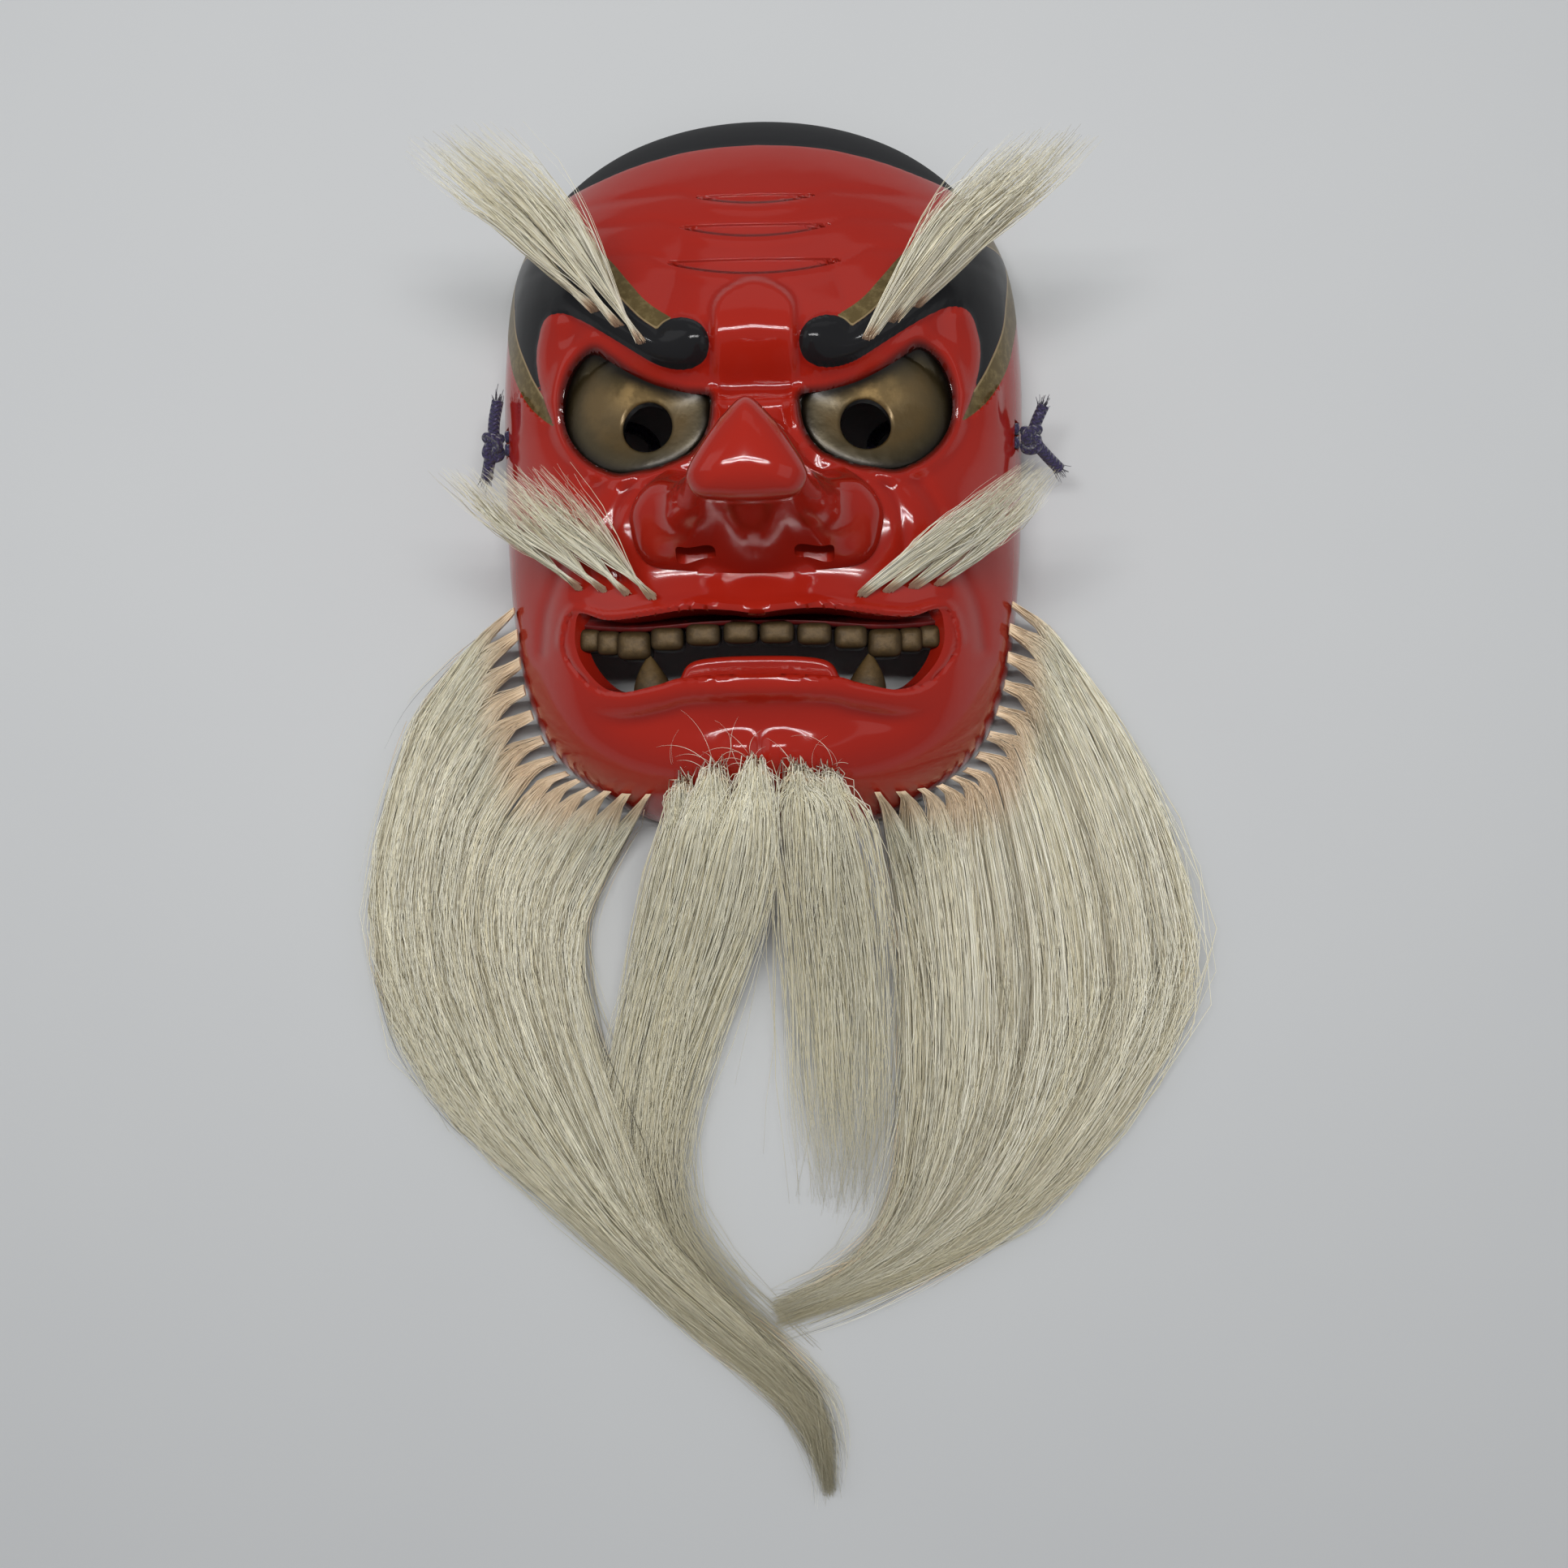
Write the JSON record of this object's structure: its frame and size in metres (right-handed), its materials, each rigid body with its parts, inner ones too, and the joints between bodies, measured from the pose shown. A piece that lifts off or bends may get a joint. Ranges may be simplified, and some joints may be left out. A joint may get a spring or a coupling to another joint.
{
  "type": "tengu mask",
  "caption": "Long-nosed red goblin mask of lacquered wood with gilt eyes and teeth, tufted hair brows, moustache and long beard, lying face up",
  "frame": {"origin": "centre of the mask's and its hair's own box, on the plane that the rim lies on", "axes": "+X across the face, +Y from the beard to the forehead, +Z out of the face along the nose"},
  "size_m": [0.3122, 0.535, 0.1525],
  "materials": {
    "lacquered_wood": "glossy vermilion lacquer over carved wood, with matt black and worn gilt areas",
    "hair": "bundles of ivory animal hair, peach at the roots",
    "cord": "braided dark violet cord with pale flecks"
  },
  "bodies": {
    "root": {"mask_shell": "lacquered_wood", "brow_tuft_left_1": "hair", "brow_tuft_left_2": "hair", "brow_tuft_left_3": "hair", "moustache_tuft_left_1": "hair", "moustache_tuft_left_2": "hair", "moustache_tuft_left_3": "hair", "moustache_tuft_left_4": "hair", "beard_tuft_left_1": "hair", "beard_tuft_left_2": "hair", "beard_tuft_left_3": "hair", "beard_tuft_left_4": "hair", "beard_tuft_left_5": "hair", "beard_tuft_left_6": "hair", "beard_tuft_left_7": "hair", "beard_tuft_left_8": "hair", "beard_tuft_left_9": "hair", "beard_tuft_left_10": "hair", "beard_tuft_left_11": "hair", "beard_tuft_left_12": "hair", "beard_tuft_left_13": "hair", "brow_tuft_right_1": "hair", "brow_tuft_right_2": "hair", "brow_tuft_right_3": "hair", "moustache_tuft_right_1": "hair", "moustache_tuft_right_2": "hair", "moustache_tuft_right_3": "hair", "moustache_tuft_right_4": "hair", "beard_tuft_right_1": "hair", "beard_tuft_right_2": "hair", "beard_tuft_right_3": "hair", "beard_tuft_right_4": "hair", "beard_tuft_right_5": "hair", "beard_tuft_right_6": "hair", "beard_tuft_right_7": "hair", "beard_tuft_right_8": "hair", "beard_tuft_right_9": "hair", "beard_tuft_right_10": "hair", "beard_tuft_right_11": "hair", "beard_tuft_right_12": "hair", "beard_tuft_right_13": "hair", "chin_lock_1": "hair", "chin_lock_2": "hair", "chin_lock_3": "hair", "chin_lock_4": "hair", "chin_lock_5": "hair", "head_cord_left": "cord", "cord_knot_left": "cord", "head_cord_right": "cord", "cord_knot_right": "cord"}
  },
  "joints": []
}
